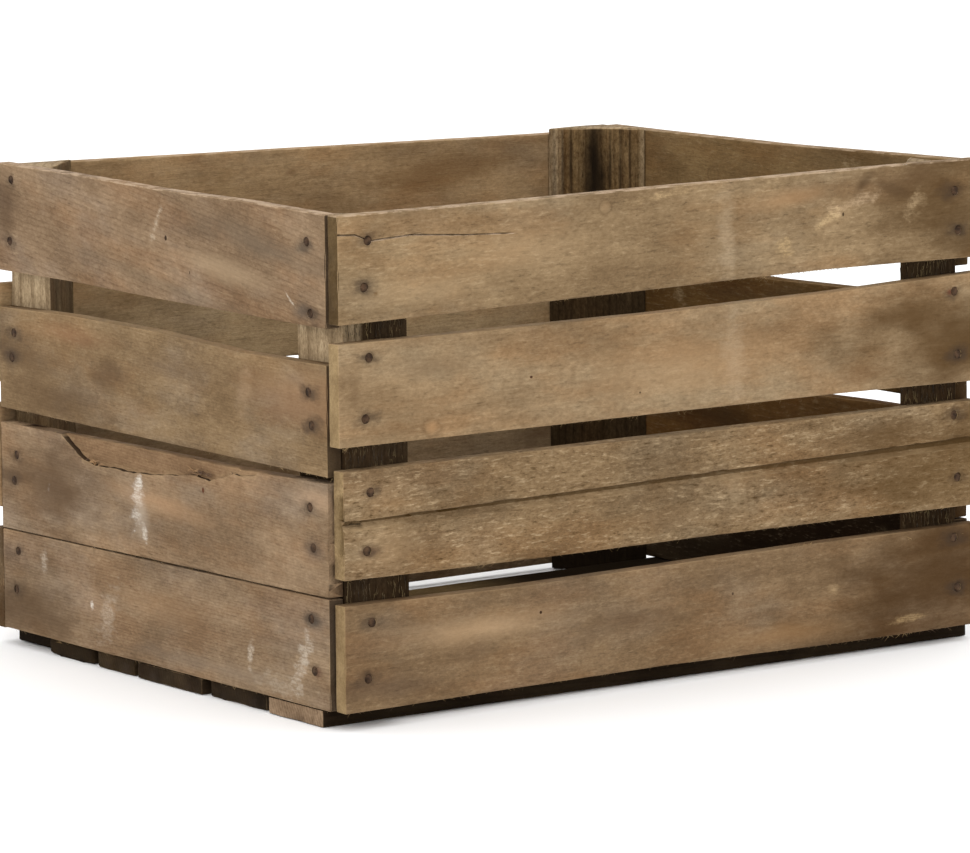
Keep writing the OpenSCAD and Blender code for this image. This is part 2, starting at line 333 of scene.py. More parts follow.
def blended(tree, amount, under, over, how="MIX"):
    """Lays one colour over another by an amount from 0 to 1."""
    return put(tree, "Mix", {"data_type": "RGBA", "blend_type": how},
               {0: amount, 6: under, 7: over}).outputs[2]


def shaded(tree, value, low, high, bottom=0.0, top=1.0):
    """A value carried smoothly from one range to another."""
    return put(tree, "MapRange", {"interpolation_type": "SMOOTHSTEP"},
               {"Value": value, 1: low, 2: high, 3: bottom, 4: top}).outputs["Result"]


def combined(tree, first, second, how="MULTIPLY"):
    """Two values put through one sum."""
    return put(tree, "Math", {"operation": how}, {0: first, 1: second}).outputs["Value"]


def grained(tree, place, squeeze, size, detail=3.0, rough=0.55, shift=0.0):
    """Noise whose patches have one size across the grain, in millimetres, and are longer along it."""
    stretch = put(tree, "Mapping", None, {"Vector": place, "Scale": (squeeze, 1.0, 1.0),
                                          "Location": (shift, shift * 0.7, shift * 0.4)}).outputs["Vector"]
    return put(tree, "TexNoise", None, {"Vector": stretch, "Scale": 1000.0 / size, "Detail": detail,
                                        "Roughness": rough}).outputs["Fac"]


# How a board is turned so that its grain runs along X, with its width along Z
TURNS = {"wall_long": (0.0, 0.0, 0.0), "wall_end": (0.0, 0.0, -90.0),
         "post": (0.0, 90.0, 0.0), "floor": (90.0, 0.0, 0.0)}
# Kinds of mark: reach at which it starts and is full, raggedness, and how much the fibres break it up
MARKS = {"stain": (1.15, 0.0, 0.9, 0.0), "scuff": (1.2, 0.1, 1.9, 0.6), "hole": (1.0, 0.6, 0.1, 0.0),
         "ring": (1.1, 0.7, 0.5, 0.0), "smear": (1.1, 0.0, 1.2, 0.3)}
# Half length, thickness and height of the iron stain round a nail, in metres
NAIL_STAIN = (0.014, 0.009, 0.0075)


# Weathered softwood: brown and matt, with rings 1.5 to 5 mm apart, grey bleached patches, short dark
# checks along the grain and iron stain round each nail. Its fibres are under 0.1 mm wide, too fine to
# show, so they are drawn 0.9 mm wide and their fuzz 1.7 mm.
def weathered_softwood(name, turn, centre, seed, tones, nails=(), marks=(), start=(0.0, 0.0),
                       pith=(0.06, 0.14), tilt=0.6, ring=2.6, rings=0.3, grain=1.0, grey=0.3,
                       speck=0.0, bare_and_painted_light=None, relief=1.0):
    base, grey_tone, dirt_and_shade_tone = (linear(t) for t in tones)
    material = bpy.data.materials.new(name)
    material.use_nodes = True
    tree = material.node_tree
    object_place = put(tree, "TexCoord").outputs["Object"]
    centred = put(tree, "VectorMath", {"operation": "SUBTRACT"},
                  {0: object_place, 1: centre}).outputs["Vector"]
    turn_angles = [math.radians(a) for a in TURNS[turn]]
    own = put(tree, "Mapping", None, {"Vector": centred, "Rotation": turn_angles}).outputs["Vector"]
    log_angles = (0.0, math.radians(tilt), math.radians(tilt * 0.6))
    log = put(tree, "Mapping", None, {"Vector": own, "Rotation": log_angles,
                                      "Location": (seed * 1.9, pith[0], pith[1])}).outputs["Vector"]

    rings_place = put(tree, "Mapping", None, {"Vector": log, "Scale": (0.09, 1.0, 1.0)}).outputs["Vector"]
    wave = put(tree, "TexWave", {"wave_type": "RINGS", "rings_direction": "X", "wave_profile": "SAW"},
               {"Vector": rings_place, "Scale": 2 * math.pi / (20 * ring * MM), "Distortion": 9.0,
                "Detail": 3.0, "Detail Scale": 0.4, "Detail Roughness": 0.6}).outputs["Fac"]
    summer = shaded(tree, wave, 0.5, 1.0)

    fibre = grained(tree, log, 0.1, 0.9, 3.0, 0.65)
    fuzz = grained(tree, log, 0.55, 1.7, 3.0, 0.75, 5.0)
    mottle = grained(tree, log, 0.6, 7.0, 4.0, 0.65, 11.0)
    streak = grained(tree, log, 0.07, 5.0, 4.0, 0.6, 3.0)
    patch = grained(tree, log, 0.4, 30.0, 4.0, 0.55, 7.0)
    bleach = grained(tree, log, 0.5, 48.0, 5.0, 0.6, 13.0)

    # The tone: a sum of layers round 1, each with its own strength
    tone = shaded(tree, patch, 0.25, 0.75, 0.72, 1.28)
    for layer, share in ((streak, 0.38), (fibre, 0.3), (fuzz, 1.1), (mottle, 0.55)):
        strength = share * grain
        swing = put(tree, "Math", {"operation": "MULTIPLY_ADD"},
                    {0: layer, 1: strength, 2: 1 - strength / 2}).outputs["Value"]
        tone = combined(tree, tone, swing)
    tone = combined(tree, tone, shaded(tree, summer, 0.0, 1.0, 1.0, 1.0 - rings))
    tint = put(tree, "CombineColor", None, {"Red": combined(tree, tone, 0.9, "POWER"), "Green": tone,
                                            "Blue": combined(tree, tone, 1.1, "POWER")}).outputs["Color"]
    colour = blended(tree, combined(tree, shaded(tree, bleach, 0.45, 0.68), grey), base, grey_tone)
    warm = grained(tree, log, 0.35, 34.0, 4.0, 0.6, 31.0)
    colour = blended(tree, shaded(tree, warm, 0.44, 0.64, 0.0, 0.4), colour, linear("#FFE8D2"), "MULTIPLY")
    colour = blended(tree, 1.0, colour, tint, "MULTIPLY")
    checks = grained(tree, log, 0.09, 1.1, 1.0, 0.4, 23.0)
    colour = blended(tree, combined(tree, shaded(tree, checks, 0.68, 0.78), 0.3 * grain), colour, dirt_and_shade_tone)
    height = combined(tree, combined(tree, fibre, 0.5), combined(tree, fuzz, 0.4), "ADD")
    swell = combined(tree, combined(tree, streak, 0.5), combined(tree, checks, 0.3), "SUBTRACT")
    height = combined(tree, height, swell, "ADD")
    height = combined(tree, height, combined(tree, summer, 0.25 * rings), "ADD")

    if speck:
        torn_and_lit = grained(tree, log, 0.24, 1.9, 3.0, 0.72, 19.0)
        pale = combined(tree, shaded(tree, torn_and_lit, 0.53, 0.72),
                        shaded(tree, patch, 0.3, 0.6, 0.35 * speck, speck))
        colour = blended(tree, pale, colour, blended(tree, 0.5, linear("#CDB692"), base))
        pits = combined(tree, shaded(tree, torn_and_lit, 0.45, 0.27), speck)
        colour = blended(tree, pits, colour, dirt_and_shade_tone)
        height = combined(tree, height, combined(tree, torn_and_lit, 1.6), "ADD")

    for kind, along, up, long, high, angle, tone_code, strength in marks:
        outside, inside, ragged, broken = MARKS[kind]
        local = (start[0] + along * MM, 0.0, start[1] + up * MM)
        spot = put(tree, "Mapping", {"vector_type": "TEXTURE"},
                   {"Vector": own, "Location": local, "Rotation": (0.0, math.radians(-angle), 0.0),
                    "Scale": (long * MM, 1.0, high * MM)}).outputs["Vector"]
        reach = put(tree, "VectorMath", {"operation": "LENGTH"}, {0: spot}).outputs["Value"]
        frayed = put(tree, "Math", {"operation": "MULTIPLY_ADD"},
                     {0: patch if kind == "stain" else mottle, 1: ragged * 2, 2: reach}).outputs["Value"]
        cover = shaded(tree, frayed, outside + ragged, inside + ragged, 0.0, strength)
        if kind == "ring":
            cover = combined(tree, cover, shaded(tree, frayed, 0.6 + ragged, 0.8 + ragged, 0.15, 1.0))
        if broken:
            threads = shaded(tree, combined(tree, fibre, fuzz, "ADD"), 0.88, 1.12, 1 - broken, 1.0)
            cover = combined(tree, cover, threads)
        colour = blended(tree, cover, colour, linear(tone_code))

    nearest = None
    turned = Euler(turn_angles).to_matrix()
    for nail in nails:
        spot = put(tree, "Mapping", {"vector_type": "TEXTURE"},
                   {"Vector": own, "Location": turned @ (nail - centre),
                    "Scale": NAIL_STAIN}).outputs["Vector"]
        reach = put(tree, "VectorMath", {"operation": "LENGTH"}, {0: spot}).outputs["Value"]
        nearest = reach if nearest is None else combined(tree, nearest, reach, "MINIMUM")
    if nearest is not None:
        wobble = combined(tree, combined(tree, mottle, patch, "ADD"), 1.6)
        stain_and_shade = combined(tree, combined(tree, nearest, wobble, "ADD"), 1.6, "SUBTRACT")
        stain = combined(tree, shaded(tree, stain_and_shade, 1.0, 0.0), shaded(tree, bleach, 0.3, 0.6, 0.3, 0.7))
        colour = blended(tree, stain, colour, linear("#382E26"))

    # A second tone laid where an attribute says: bare and torn wood, and also painted light and shade on
    # faces that lie in light or shade
    if bare_and_painted_light:
        split = put(tree, "Attribute", {"attribute_name": "bare_and_painted_light"}).outputs["Fac"]
        fresh = blended(tree, 1.0, linear(bare_and_painted_light), tint, "MULTIPLY")
        opened = combined(tree, split, shaded(tree, streak, 0.2, 0.5, 0.75, 1.0))
        colour = blended(tree, opened, colour, fresh)
    edge = put(tree, "Attribute", {"attribute_name": "edge"}).outputs["Fac"]
    rubbed = combined(tree, edge, shaded(tree, patch, 0.35, 0.6, 0.0, 0.4))
    colour = blended(tree, rubbed, colour, linear("#AC916D"))
    # Painted shade: the dark tone laid over faces that sit in shade, by the amount this attribute gives
    painted_shade = put(tree, "Attribute", {"attribute_name": "painted_shade"}).outputs["Fac"]
    colour = blended(tree, painted_shade, colour, dirt_and_shade_tone)
    # Paler upper faces of the top slats: partly wear, partly a painted highlight where they face up into the
    # light
    wear_and_highlight = put(tree, "Attribute", {"attribute_name": "wear_and_highlight"}).outputs["Fac"]
    wear_and_highlight_cover = combined(tree, wear_and_highlight, shaded(tree, mottle, 0.4, 0.62, 0.1, 0.85))
    colour = blended(tree, wear_and_highlight_cover, colour, linear("#A8927A"))

    surface = tree.nodes["Principled BSDF"]
    tree.links.new(colour, surface.inputs["Base Color"])
    surface.inputs["Specular IOR Level"].default_value = 0.06
    surface.inputs["Roughness"].default_value = 0.95
    bump = put(tree, "Bump", None, {"Strength": 0.5 * relief, "Distance": 0.0005, "Height": height})
    tree.links.new(bump.outputs["Normal"], surface.inputs["Normal"])
    return material


def middle_of(node):
    """The middle of a CAD node's box."""
    low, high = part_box(node)
    return (low + high) / 2


def mark_start(node, along):
    """Where a wall's near bottom corner lies in the board's own frame, along and up."""
    middle = middle_of(node)
    return near_corner[along] - middle[along], -middle.z


def painted(bm, layer_name, amount):
    """Fills a face-corner attribute with amount(point, face normal), so that it can stop at an edge."""
    layer = bm.loops.layers.float.new(layer_name)
    bm.normal_update()
    for face in bm.faces:
        for loop in face.loops:
            loop[layer] = amount(loop.vert.co, face.normal)


# Torn fibres: dry, pale slivers, 0.1 to 0.3 mm thick, that stay where a rough saw left the board's edge
def torn_fibre(name, dark, pale):
    material = bpy.data.materials.new(name)
    material.use_nodes = True
    tree = material.node_tree
    place = put(tree, "TexCoord").outputs["Object"]
    tone = put(tree, "TexNoise", None, {"Vector": place, "Scale": 90.0, "Detail": 2.0}).outputs["Fac"]
    colour = blended(tree, shaded(tree, tone, 0.35, 0.65), linear(dark), linear(pale))
    tree.links.new(colour, tree.nodes["Principled BSDF"].inputs["Base Color"])
    tree.nodes["Principled BSDF"].inputs["Roughness"].default_value = 0.85
    return material


fibre_material = torn_fibre("torn_softwood_fibre", "#4E3A26", "#A88C60")


def sliver(bm, root, heading, droop, length, thick):
    """One tapering fibre of three sides, bent towards droop."""
    rings = []
    side = heading.orthogonal().normalized()
    other = heading.cross(side).normalized()
    for i in range(5):
        share = i / 4
        centre = root + heading * length * share + droop * length * share * share
        width = thick * (1 - 0.85 * share) / 2
        ring = []
        for turn in (0, 120, 240):
            angle = math.radians(turn)
            ring.append(bm.verts.new(centre + (side * math.cos(angle) + other * math.sin(angle)) * width))
        rings.append(ring)
    for a, b in zip(rings, rings[1:]):
        for i in range(3):
            bm.faces.new((a[i], a[(i + 1) % 3], b[(i + 1) % 3], b[i]))
    bm.faces.new(rings[0][::-1])
    bm.faces.new(rings[-1])


EDGE_CORNERS = {}
EDGE_BAND = 12.0 * MM


def edge_height(node, place, along, up):
    """Height of a board's lower or upper edge at a place along it, from the CAD mesh."""
    side = 1 if up else -1
    if (node, up) not in EDGE_CORNERS:
        low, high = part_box(node)
        limit = (high.z if up else -low.z) - EDGE_BAND
        corners = EDGE_CORNERS[node, up] = {}
        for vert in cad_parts[node].data.vertices:
            if vert.co.z * side > limit:
                key = round(vert.co[along], 4)
                corners[key] = max(corners.get(key, -9.0), vert.co.z * side)
    corners = EDGE_CORNERS[node, up]
    before = max((k for k in corners if k <= place), default=min(corners))
    after = min((k for k in corners if k >= place), default=max(corners))
    share = 0.0 if after == before else (place - before) / (after - before)
    return side * (corners[before] + (corners[after] - corners[before]) * share)


FIBRE_ROOM = 0.15 * MM
FIBRE_LENGTHS = (0.8, 3.2)
FIBRE_THICK = 0.16
LONG_FIBRE_THICK = 0.24


def furry_edges(name, node, along, face, outward, seed, every=4.0, extra=()):
    """Slivers along a board's lower and upper outer edges, and longer ones where extra says."""
    chance = random.Random(seed)
    low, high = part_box(node)
    bm = bmesh.new()
    grain = Vector((1, 0, 0)) if along == 0 else Vector((0, 1, 0))
    spots = []
    for up in (False, True):
        place = low[along] + 4 * MM
        while place < high[along] - 8 * MM:
            spots.append((place, up, chance.uniform(*FIBRE_LENGTHS), FIBRE_THICK))
            place += chance.uniform(0.3, 1.7) * every * MM
    for start, stop, up, count, longest in extra:
        for i in range(count):
            place = near_corner[along] + chance.uniform(start, stop) * MM
            spots.append((place, up, chance.uniform(0.35, 1.0) * longest, LONG_FIBRE_THICK))
    for place, up, length, thick in spots:
        height = edge_height(node, place, along, up) + (-0.5 if up else 0.5) * MM
        root = Vector((0, 0, height))
        root[along] = place
        root[1 - along] = face - outward * chance.uniform(0.3, 1.6) * MM
        lift = 1.0 if up else -1.0
        heading = grain * chance.choice((-1, 1)) * chance.uniform(0.5, 1.0)
        heading += Vector((0, 0, lift * chance.uniform(0.15, 0.75)))
        heading[1 - along] += outward * chance.uniform(0.0, 0.25)
        heading.normalize()
        droop = Vector((chance.uniform(-0.2, 0.2), chance.uniform(-0.2, 0.2), -chance.uniform(0.0, 0.25)))
        droop[1 - along] = min(0.0, droop[1 - along] * outward) * outward
        tip = root + (heading + droop) * length * MM
        if tip[1 - along] * outward > face * outward:
            heading[1 - along] = 0.0
        if all(cad_box[0][i] + FIBRE_ROOM < tip[i] < cad_box[1][i] - FIBRE_ROOM for i in range(3)):
            sliver(bm, root, heading, droop, length * MM, thick * MM)
    finish_piece(name, bm, fibre_material, smooth_angle=70.0)


CRACK_REACH = 4.0 * MM


def crack_along(bm, points, width, depth, face):
    """Opens a crack in the front face along a line of points, in millimetres along and up the wall."""
    places = [near_corner + Vector((x, 0, z)) * MM for x, z in points]
    for a, b in zip(places, places[1:]):
        line = (b - a).normalized()
        normal = Vector((-line.z, 0, line.x))
        for offset in (-width, 0.0, width):
            near = [f for f in bm.faces if f.normal.y < -0.9
                    and any(a.x - CRACK_REACH < v.co.x < b.x + CRACK_REACH for v in f.verts)]
            edges = dict.fromkeys(e for f in near for e in f.edges)
            verts = dict.fromkeys(v for f in near for v in f.verts)
            bmesh.ops.bisect_plane(bm, geom=near + list(edges) + list(verts), dist=MERGE,
                                   plane_co=a + normal * offset * MM, plane_no=normal)
    for vert in bm.verts:
        for a, b in zip(places, places[1:]):
            line = b - a
            along = vert.co - a
            along.y = 0
            share = along.dot(line) / line.length_squared
            if 0 <= share <= 1 and (along - line * share).length < 0.1 * MM and vert.co.y < face + 0.5 * MM:
                whole = (vert.co.x - places[0].x) / (places[-1].x - places[0].x)
                vert.co.y += depth * MM * (1 - whole) ** 0.5 + 0.3 * MM


FRONT_TONES = {
    1: ("#7B664B", "#7B6E5A", "#2B2014"),
    2: ("#7E684D", "#7D725D", "#2B2014"),
    3: ("#725D43", "#726755", "#3A280F"),
    4: ("#6E5941", "#6E6152", "#241A10"),
}
# Kind, place along and up the wall, half length and half height, tilt, colour and strength
FRONT_MARKS = {
    1: [("stain", 486, 272, 90, 60, 0, "#46321A", 0.75), ("stain", 20, 300, 26, 10, 0, "#5A452F", 0.4),
        ("stain", 405, 300, 60, 12, 4, "#5C4630", 0.5), ("stain", 60, 262, 60, 12, 0, "#B79B76", 0.25),
        ("scuff", 395, 290, 26, 4, 14, "#B0987A", 0.5), ("scuff", 444, 284, 10, 7, 50, "#AE9674", 0.4),
        ("scuff", 372, 280, 12, 4, 30, "#BEA47B", 0.6), ("scuff", 340, 266, 8, 6, 0, "#B59A70", 0.5),
        ("stain", 402, 301, 12, 5, 40, "#3E2E1E", 0.6), ("stain", 426, 296, 20, 4, -20, "#4A3825", 0.5),
        ("scuff", 245, 305, 26, 3, 4, "#B79D76", 0.5), ("smear", 293, 275, 10, 44, 4, "#A8957A", 0.4),
        ("ring", 199, 301, 6, 5.5, 0, "#4A3724", 0.4), ("stain", 199, 301, 4, 4, 0, "#94795A", 0.4),
        ("stain", 340, 296, 40, 8, 4, "#A07C58", 0.4), ("stain", 130, 280, 70, 16, 0, "#A58A68", 0.35),
        ("hole", 386, 283, 0.9, 1.6, 0, "#2A1D12", 0.9), ("smear", 28, 262, 3, 2, 20, "#5E4526", 0.7)],
    2: [("stain", 486, 196, 130, 60, 0, "#48331A", 0.85), ("ring", 68, 178, 8, 6, 0, "#5C442C", 0.3),
        ("stain", 68, 178, 6, 5, 0, "#A5805A", 0.45), ("hole", 142, 202, 1.3, 1, 0, "#3A1F14", 0.95),
        ("smear", 299, 200, 12, 40, 3, "#AC9A80", 0.35), ("stain", 60, 215, 60, 10, 0, "#705A42", 0.35),
        ("stain", 260, 195, 90, 24, 0, "#A98A66", 0.35), ("hole", 225, 185, 0.9, 0.8, 0, "#33251A", 0.8),
        ("stain", 474, 227, 4, 3, 0, "#7C3A22", 0.8), ("smear", 12, 205, 5, 24, 0, "#5C4731", 0.35),
        ("stain", 400, 180, 40, 9, 3, "#6A4E34", 0.35)],
    3: [("stain", 432, 137, 90, 18, 2, "#503B24", 0.45), ("stain", 470, 110, 110, 46, 0, "#4C3618", 0.6),
        ("stain", 30, 110, 30, 20, 0, "#A78B68", 0.3), ("stain", 20, 108, 9, 4, 0, "#5E2F1C", 0.5),
        ("stain", 240, 104, 80, 9, 0, "#6A5034", 0.3), ("smear", 300, 118, 8, 28, 3, "#A08C6E", 0.25)],
    4: [("stain", 34, 25, 40, 10, 0, "#4A3A2E", 0.5), ("stain", 216, 45, 56, 18, 4, "#544230", 0.55),
        ("stain", 462, 42, 130, 50, 0, "#402C16", 0.85), ("stain", 100, 40, 26, 12, 0, "#5E4B38", 0.35),
        ("stain", 110, 52, 80, 12, 0, "#A98D6C", 0.6), ("stain", 330, 22, 70, 9, 0, "#94714C", 0.4),
        ("hole", 148, 57, 1.2, 1.2, 0, "#2C1A10", 0.95), ("hole", 297, 52, 1.1, 1.1, 0, "#2C1A10", 0.9),
        ("smear", 379, 45, 4, 6, 60, "#A88F6C", 0.6), ("smear", 300, 50, 9, 24, 3, "#8E7A60", 0.25),
        ("scuff", 440, 20, 18, 2.5, 4, "#A58B64", 0.5)],
}
# Where longer slivers hang: from, to, whether on the upper edge, how many and how long
FRONT_SLIVERS = {
    1: [(320, 395, False, 40, 7.0), (370, 400, True, 22, 5.0), (60, 90, True, 8, 4.0)],
    2: [(1, 10, False, 12, 7.0), (250, 330, True, 12, 4.0)],
    3: [(290, 320, True, 8, 7.0), (100, 150, False, 10, 6.0), (0, 14, True, 12, 6.0)],
    4: [(330, 400, True, 30, 6.0), (400, 480, False, 30, 5.0), (430, 452, True, 12, 7.0)],
}
CRACK = [(1, 298.5), (14, 297.8), (24, 293.6), (55, 295.0), (92, 292.2), (131, 290.4)]
CRACK_END = 135 * MM
CRACK_LOW = 280 * MM
CRACK_HIGH = 304 * MM
WALL_LENGTH = 500 * MM
GROOVE_DEPTH = 0.9 * MM
GROOVE_LOW = 115 * MM
GROOVE_HIGH = 142 * MM
GROOVE_MIDDLE = 124.5 * MM
GROOVE_RISE = 5 * MM
FRONT_SPECKS = {1: 0.42, 2: 0.3, 3: 0.75, 4: 0.25}
front_face = near_corner.y


def slope_groove(bm):
    """Leans the groove's lower wall outwards, as a blunt cutter leaves it."""
    floor = front_face + 1.5 * MM
    bed = [v for v in bm.verts
           if floor < v.co.y < front_face + 3 * MM and GROOVE_LOW < v.co.z < GROOVE_HIGH]
    for vert in bed:
        share = (vert.co.x - near_corner.x) / WALL_LENGTH
        if vert.co.z < GROOVE_MIDDLE + share * GROOVE_RISE:
            vert.co.z += (3.4 - 1.2 * share) * MM


for row in (1, 2, 3, 4):
    node = "front_slat_%d" % row
    rough = row == 3
    # The top slat's end face is painted dark as shade, where the proud end slat shadows it; the other slats
    # keep the paler end grain
    wood = weathered_softwood("front_softwood_%d" % row, "wall_long", middle_of(node), row * 1.7,
                              FRONT_TONES[row], nails=nails_in(node, "front_nails"),
                              marks=FRONT_MARKS[row], start=mark_start(node, 0),
                              pith=(0.05 + 0.02 * row, 0.16 - 0.05 * row), speck=FRONT_SPECKS[row],
                              grain=1.3 if rough else 0.9, rings=0.05, relief=1.6 if rough else 1.0,
                              bare_and_painted_light="#4A3A24" if row == 1 else "#806B4C")
    shapes = {1: lambda bm: crack_along(bm, CRACK, 0.5, 2.0, front_face), 3: slope_groove}
    piece = board(node, 0, 2, row * 1.7, chips=1.3 if rough else 1.0, shape=shapes.get(row))
    slat_low, slat_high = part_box(node)

    def recess_shade(point, normal):
        """Painted shade in the groove, darkest on its upper wall, which faces down, and least on its lower
        wall, which faces up, and painted shade in the crack.
        """
        groove = (rough and point.y < front_face + 4 * MM
                  and slat_low.z + 20 * MM < point.z < slat_high.z - 16 * MM)
        crack = row == 1 and point.x < near_corner.x + CRACK_END
        if groove and (point.y > front_face + GROOVE_DEPTH or normal.y > -0.8):
            return 0.95 if normal.z < -0.3 else 0.15 if normal.z > 0.3 else 0.7
        deep = front_face + GROOVE_DEPTH < point.y < front_face + 4 * MM
        return 1.0 if crack and deep and CRACK_LOW < point.z < CRACK_HIGH and abs(normal.x) < 0.8 else 0.0

    painted(piece, "painted_shade", recess_shade)
    painted(piece, "bare_and_painted_light", lambda point, normal: 1.0 if normal.x < -0.7 else 0.0)
    # Wear and a painted highlight on the top slat's upper face
    painted(piece, "wear_and_highlight", lambda point, normal: 1.0 if normal.z > 0.3 and row == 1 else 0.0)
    finish_piece("front_slat_%d_worn" % row, piece, wood, [node])
    furry_edges("front_slat_%d_fibres" % row, node, 0, front_face, -1, 100 + row,
                extra=FRONT_SLIVERS[row])


# The left end wall: four slats between the long walls, planed once and greyer than the front.
# A long flake has split off the outer face of the third, down from its top edge, and left torn wood.
LEFT_TONES = {
    1: ("#76614B", "#75685C", "#2C2218"),
    2: ("#756046", "#73695D", "#2A2016"),
    3: ("#7C6750", "#786D61", "#2A1E14"),
    4: ("#78644E", "#75695D", "#2A2118"),
}
LEFT_MARKS = {
    1: [("stain", 70, 284, 100, 11, 9, "#5E5244", 0.6), ("stain", 170, 250, 110, 7, 7, "#5E5140", 0.45),
        ("stain", 36, 288, 16, 8, -10, "#4A443C", 0.6), ("stain", 38, 250, 15, 7, -10, "#4E463E", 0.65),
        ("hole", 184, 281, 1.6, 2.0, 0, "#2A1D14", 0.95),
        ("scuff", 194, 290, 3, 13, 25, "#B3A48E", 0.6), ("scuff", 50, 256, 6, 0.8, 40, "#C4B9A8", 0.6),
        ("stain", 130, 268, 80, 9, 6, "#A08A6E", 0.45), ("stain", 372, 282, 16, 34, 0, "#4C3A2A", 0.5),
        ("smear", 290, 265, 14, 18, 0, "#8E765C", 0.3), ("hole", 158, 262, 0.8, 1.2, 0, "#3A2C20", 0.8)],
    2: [("stain", 330, 186, 100, 50, 0, "#523F2C", 0.6), ("stain", 250, 190, 34, 12, 0, "#4E3E30", 0.35),
        ("stain", 180, 200, 60, 12, -4, "#564434", 0.45), ("stain", 368, 188, 16, 12, 0, "#41352C", 0.6),
        ("stain", 40, 200, 70, 22, 0, "#947254", 0.35),
        ("stain", 300, 210, 60, 10, 0, "#8A664A", 0.4), ("smear", 100, 197, 9, 20, 10, "#9D8468", 0.35)],
    3: [("scuff", 221, 116, 6, 20, 8, "#CDC6BB", 0.85), ("scuff", 213, 92, 3.5, 7, -20, "#C4BBAE", 0.7),
        ("stain", 217, 108, 9, 22, 0, "#A39686", 0.5), ("scuff", 325, 108, 2, 4, 20, "#CFC8BE", 0.6),
        ("stain", 368, 108, 16, 12, 0, "#41352C", 0.65), ("hole", 147, 129, 1.6, 2.0, 0, "#4E2A1A", 0.9),
        ("stain", 26, 138, 30, 9, 0, "#A88C70", 0.5), ("stain", 30, 106, 16, 9, 0, "#5C4E44", 0.5),
        ("stain", 326, 112, 100, 44, 0, "#503D2B", 0.8), ("stain", 205, 116, 60, 9, 4, "#A5815F", 0.45)],
    4: [("scuff", 258, 36, 9, 22, 20, "#A99B89", 0.55), ("scuff", 42, 36, 7, 26, 24, "#B4A999", 0.65),
        ("scuff", 66, 20, 30, 7, 0, "#A59885", 0.45), ("scuff", 332, 60, 4, 8, 0, "#BDB09E", 0.6),
        ("stain", 28, 64, 14, 7, 0, "#4A4640", 0.6), ("stain", 360, 26, 110, 40, 0, "#503E2C", 0.8),
        ("stain", 26, 34, 7, 5, 0, "#5E3426", 0.7),
        ("scuff", 276, 40, 2.5, 3, 0, "#D8D0C4", 0.8), ("stain", 120, 20, 110, 8, 0, "#77695A", 0.5),
        ("stain", 374, 62, 14, 9, 0, "#41352C", 0.6), ("scuff", 98, 34, 3, 10, 12, "#B9AC9A", 0.6),
        ("stain", 200, 50, 60, 14, 0, "#94785A", 0.3)],
}
LEFT_SLIVERS = {
    1: [(0, 60, False, 16, 3.5)],
    2: [(0, 80, False, 20, 4.0)],
    3: [(100, 160, True, 10, 3.0)],
    4: [(40, 330, True, 40, 3.0)],
}
left_face = near_corner.x
FLAKE_LOW = Vector((0, -0.110, 0.128))
FLAKE_HIGH = Vector((0, 0.114, 0.150))
FLAKE_RIM = 0.1448
FLAKE_BED = 3.5 * MM
RUN_OUT_FROM = 60 * MM
RUN_OUT_LENGTH = 160 * MM
# Each board's pith height, grain tilt in degrees, ring spacing in millimetres and strength of rings
LEFT_GRAIN = {1: (0.2, 9.0, 3.2, 0.16), 2: (-0.11, 1.2, 1.5, 0.1), 3: (0.13, 3.0, 1.5, 0.14),
              4: (0.16, 1.0, 1.7, 0.18)}


def in_flake(point):
    """Whether a point lies in the flake's hollow."""
    return (point.x < left_face + 6.0 * MM and FLAKE_LOW.y < point.y < FLAKE_HIGH.y
            and FLAKE_LOW.z < point.z < FLAKE_HIGH.z)


def flake_shape(bm):
    """Tears the flake's rim, and lets its bed rise towards the front where it ran out."""
    bed = left_face + FLAKE_BED
    for vert in bm.verts:
        if in_flake(vert.co):
            ragged = noise.noise(Vector((0, vert.co.y * 160, 5.0)))
            ragged += 0.6 * noise.noise(Vector((0, vert.co.y * 420, 9.0)))
            vert.co.z += ragged * 0.9 * MM
            if vert.co.x > bed:
                run_out = min(1.0, max(0.0, (RUN_OUT_FROM - vert.co.y) / RUN_OUT_LENGTH))
                vert.co.x -= (1.4 + 1.8 * run_out) * MM
                vert.co.x += 0.5 * MM * noise.noise(Vector((3.0, vert.co.y * 40, vert.co.z * 240)))


for row in (1, 2, 3, 4):
    node = "left_slat_%d" % row
    broken = row == 3
    pith_height, tilt, ring, rings = LEFT_GRAIN[row]
    wood = weathered_softwood("left_softwood_%d" % row, "wall_end", middle_of(node), 9 + row * 2.3,
                              LEFT_TONES[row], nails=nails_in(node, "left_nails"),
                              marks=LEFT_MARKS[row], start=mark_start(node, 1),
                              pith=(0.04 + 0.015 * row, pith_height), tilt=tilt, ring=ring, rings=rings,
                              grain=0.9, grey=0.35, speck=0.25,
                              bare_and_painted_light="#785F46" if broken else "#7A624A", relief=0.9)
    piece = board(node, 1, 2, 9 + row * 2.3, spare=in_flake if broken else None,
                  shape=flake_shape if broken else None)

    def break_shadow(point, normal):
        """Painted shadow on the break's steep faces, darkest at their foot."""
        if abs(normal.x) > 0.75 or not in_flake(point) or point.z > FLAKE_RIM:
            return 0.0
        return 1.0 if point.x > left_face + 1.2 * MM else 0.85

    def break_bed(point, normal):
        """The torn wood inside the break."""
        return 1.0 if in_flake(point) and point.x > left_face + 0.9 * MM else 0.0

    if broken:
        painted(piece, "painted_shade", break_shadow)
        painted(piece, "bare_and_painted_light", break_bed)
    else:
        # Painted shade on each slat's front end, in the step where the front wall's slats meet it
        painted(piece, "painted_shade", lambda point, normal: 0.8 if normal.y < -0.7 else 0.0)
        # Wear and a painted highlight on the top slat's upper face
        painted(piece, "wear_and_highlight", lambda point, normal: 1.0 if normal.z > 0.3 and row == 1 else 0.0)
    finish_piece("left_slat_%d_worn" % row, piece, wood, [node])
    furry_edges("left_slat_%d_fibres" % row, node, 1, left_face, -1, 200 + row,
                every=5.0, extra=LEFT_SLIVERS[row])


